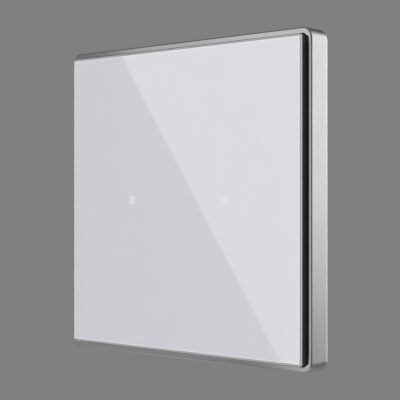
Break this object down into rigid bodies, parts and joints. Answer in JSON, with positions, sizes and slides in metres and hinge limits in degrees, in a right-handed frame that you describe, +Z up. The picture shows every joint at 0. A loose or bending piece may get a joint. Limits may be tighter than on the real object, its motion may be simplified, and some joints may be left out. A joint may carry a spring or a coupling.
{
  "type": "touch switch",
  "caption": "Square glass-fronted touch light switch in a metal frame for a wall box, with a pull-off touch panel and screw terminals behind.",
  "frame": {"origin": "midway between the two wall screw slots, on the wall plane that the frame's back rests on", "axes": "+Z up on the wall, -Y out of the wall into the room, +X to the right as seen from the room"},
  "size_m": [0.086, 0.0338, 0.086],
  "materials": {
    "white_glass": "toughened glass, white print behind, black coat on the ground side",
    "satin_aluminium": "satin, with a fine grain round the rim",
    "black_carrier": "black polycarbonate, fine texture",
    "black_base": "black polycarbonate, fine texture",
    "housing": "light grey flame-proof moulding, fine texture",
    "terminal_moulding": "dark grey polyamide",
    "adhesive_film": "double-sided foam film",
    "board": "green solder resist on glass fibre laminate",
    "chip_body": "black epoxy",
    "light_guide": "milky polycarbonate",
    "lamp_body": "white lamp body",
    "connector": "black polyamide",
    "pins": "gold flashed",
    "zinc_steel": "zinc plated",
    "screw_steel": "zinc plated",
    "cage_brass": "nickel plated brass",
    "relay_case": "blue moulded case",
    "ferrite": "dark grey ferrite",
    "winding": "yellow polyester tape",
    "film_case": "yellow moulded case",
    "can_sleeve": "sleeved aluminium can",
    "varistor_coat": "blue epoxy coat",
    "fuse_case": "brown moulded case",
    "copper_coil": "enamelled copper wire"
  },
  "bodies": {
    "switch_base": {"metal_frame": "satin_aluminium", "base_plate": "black_base", "mounting_plate": "zinc_steel", "housing_screws": "screw_steel", "rear_housing": "housing", "power_board": "board", "board_socket": "connector", "relay_1": "relay_case", "relay_2": "relay_case", "transformer_core": "ferrite", "transformer_coil": "winding", "film_capacitor": "film_case", "supply_capacitor_1": "can_sleeve", "supply_capacitor_2": "can_sleeve", "varistor": "varistor_coat", "fuse": "fuse_case", "choke": "copper_coil", "terminal_block": "terminal_moulding", "contact_bar_1": "cage_brass", "contact_bar_2": "cage_brass", "contact_bar_3": "cage_brass", "contact_bar_4": "cage_brass"},
    "front_panel": {"glass_panel": "white_glass", "bonding_film": "adhesive_film", "panel_carrier": "black_carrier", "touch_board": "board", "touch_controller": "chip_body", "light_guides": "light_guide", "indicator_leds": "lamp_body", "header_strip": "connector", "header_pins": "pins"},
    "screw_1": {"terminal_screw_1": "screw_steel"},
    "cage_1": {"clamp_cage_1": "cage_brass"},
    "screw_2": {"terminal_screw_2": "screw_steel"},
    "cage_2": {"clamp_cage_2": "cage_brass"},
    "screw_3": {"terminal_screw_3": "screw_steel"},
    "cage_3": {"clamp_cage_3": "cage_brass"},
    "screw_4": {"terminal_screw_4": "screw_steel"},
    "cage_4": {"clamp_cage_4": "cage_brass"}
  },
  "joints": [
    {"name": "panel_pull_off", "type": "slide", "parent": "switch_base", "child": "front_panel", "axis": [0, -1, 0], "range_m": [0, 0.03]},
    {"name": "terminal_screw_turn_1", "type": "hinge", "parent": "switch_base", "child": "screw_1", "pos_m": [-0.01143, 0.0243, -0.0201], "axis": [0, -1, 0], "range_deg": [0, 2016]},
    {"name": "clamp_cage_rise_1", "type": "slide", "parent": "switch_base", "child": "cage_1", "axis": [0, 1, 0], "range_m": [0, 0.0028]},
    {"name": "terminal_screw_turn_2", "type": "hinge", "parent": "switch_base", "child": "screw_2", "pos_m": [-0.00381, 0.0243, -0.0201], "axis": [0, -1, 0], "range_deg": [0, 2016]},
    {"name": "clamp_cage_rise_2", "type": "slide", "parent": "switch_base", "child": "cage_2", "axis": [0, 1, 0], "range_m": [0, 0.0028]},
    {"name": "terminal_screw_turn_3", "type": "hinge", "parent": "switch_base", "child": "screw_3", "pos_m": [0.00381, 0.0243, -0.0201], "axis": [0, -1, 0], "range_deg": [0, 2016]},
    {"name": "clamp_cage_rise_3", "type": "slide", "parent": "switch_base", "child": "cage_3", "axis": [0, 1, 0], "range_m": [0, 0.0028]},
    {"name": "terminal_screw_turn_4", "type": "hinge", "parent": "switch_base", "child": "screw_4", "pos_m": [0.01143, 0.0243, -0.0201], "axis": [0, -1, 0], "range_deg": [0, 2016]},
    {"name": "clamp_cage_rise_4", "type": "slide", "parent": "switch_base", "child": "cage_4", "axis": [0, 1, 0], "range_m": [0, 0.0028]}
  ],
  "couplings": [
    {"joint": "terminal_screw_turn_1", "follows": "clamp_cage_rise_1", "rad_per_m": 12566},
    {"joint": "terminal_screw_turn_2", "follows": "clamp_cage_rise_2", "rad_per_m": 12566},
    {"joint": "terminal_screw_turn_3", "follows": "clamp_cage_rise_3", "rad_per_m": 12566},
    {"joint": "terminal_screw_turn_4", "follows": "clamp_cage_rise_4", "rad_per_m": 12566}
  ]
}
